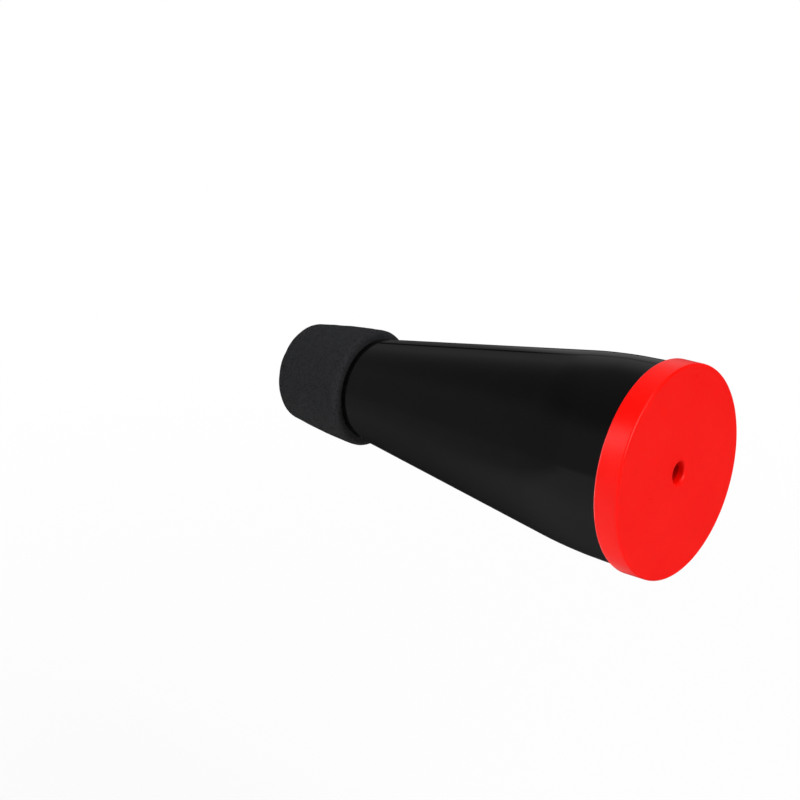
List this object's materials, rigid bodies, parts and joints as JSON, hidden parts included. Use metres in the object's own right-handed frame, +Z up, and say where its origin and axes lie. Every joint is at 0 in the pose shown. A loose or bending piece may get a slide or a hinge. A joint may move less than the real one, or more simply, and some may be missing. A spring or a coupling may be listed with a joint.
{
  "type": "trumpet practice mute",
  "caption": "Tapered hollow practice mute for a trumpet's bell, with a foam seal round its neck and a push-fit flat end cap that carries a central vent tube.",
  "frame": {"origin": "on the mute's axis, at the middle of the foam seal, where the instrument's bell holds it", "axes": "+X along the mute's axis, from the neck out of the flat face of the cap; +Z up, with the mute lying level as it sits in the bell of an instrument that is held level"},
  "size_m": [0.156, 0.068, 0.068],
  "materials": {
    "body_plastic": "black ABS, injection moulded and polished",
    "cap_plastic": "bright red ABS, semi-gloss",
    "tube_plastic": "red ABS tube, semi-gloss",
    "seal_foam": "charcoal closed-cell foam, matt with fine pores"
  },
  "bodies": {
    "shell": {"body_shell": "body_plastic", "neck_seal": "seal_foam"},
    "cap": {"end_cap": "cap_plastic", "vent_tube": "tube_plastic"}
  },
  "joints": [
    {"name": "cap_pull", "type": "slide", "parent": "shell", "child": "cap", "axis": [1, 0, 0], "range_m": [0, 0.115]}
  ]
}
